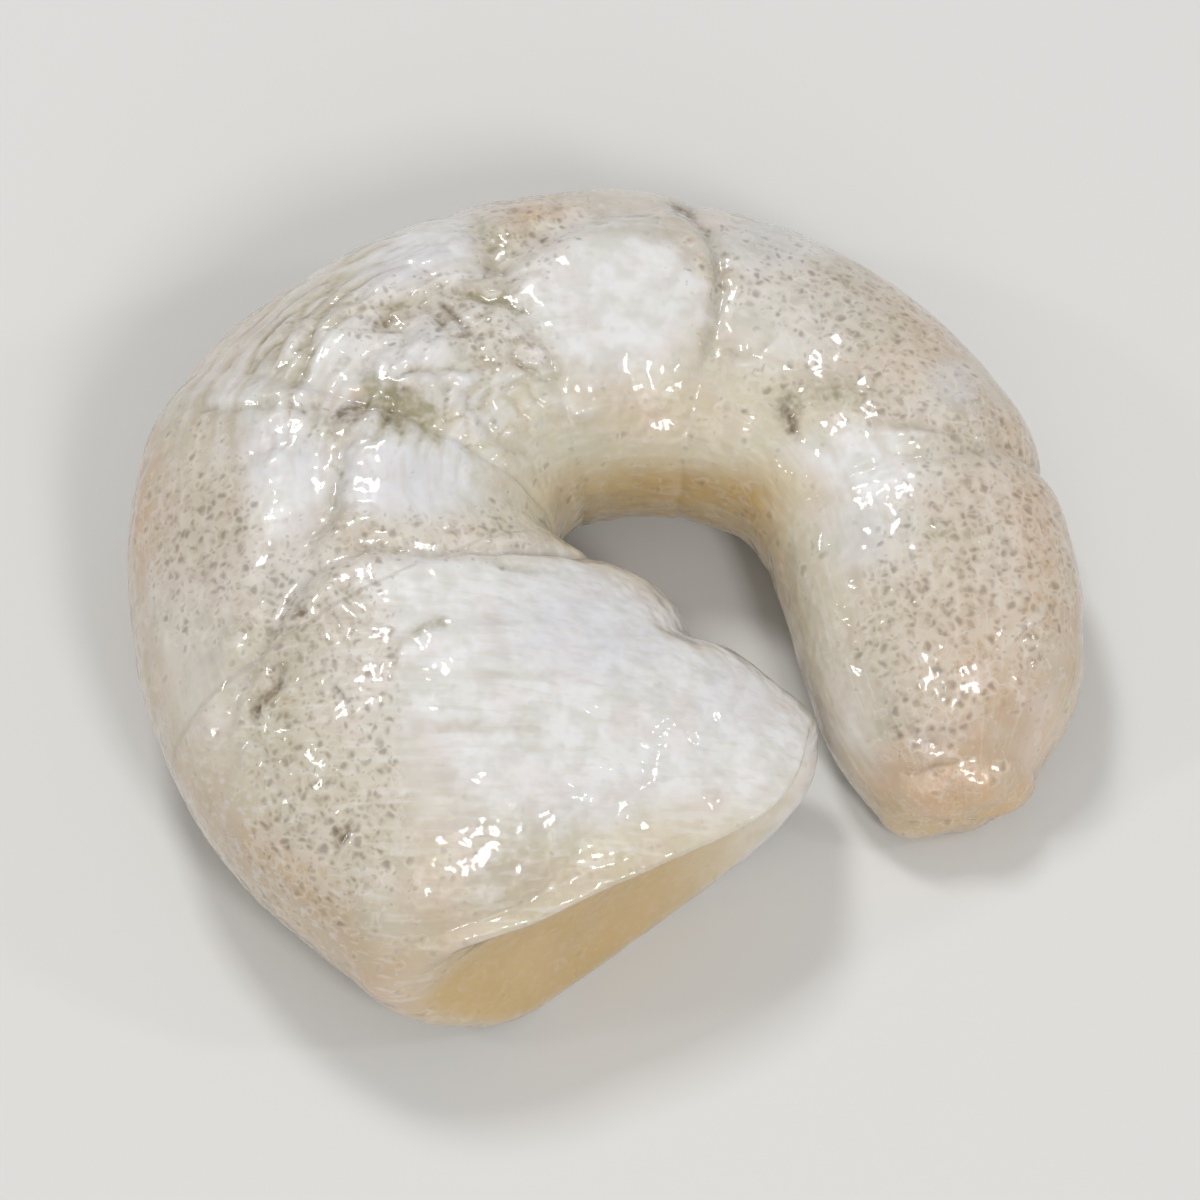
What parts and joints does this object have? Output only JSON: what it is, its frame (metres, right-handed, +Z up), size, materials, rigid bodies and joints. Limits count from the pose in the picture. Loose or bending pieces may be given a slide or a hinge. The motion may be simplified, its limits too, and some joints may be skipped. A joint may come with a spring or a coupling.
{
  "type": "raw tiger prawn",
  "caption": "Raw peeled prawn without head or tail fan, curled on its side, with a slit back, creased segments, a head cut with a lobe, and a blunt tail end.",
  "frame": {"origin": "middle of the bounding box's bottom, on the plane the prawn rests on", "axes": "+X along the longest extent, towards the tail's side of the curl; +Y towards the top of the curl; +Z up, through the prawn's side that shows"},
  "size_m": [0.052, 0.0488, 0.0176],
  "materials": {
    "raw_meat": "wet, milky and slightly see-through, with fine dark specks"
  },
  "bodies": {
    "root": {"prawn_meat": "raw_meat"}
  },
  "joints": []
}
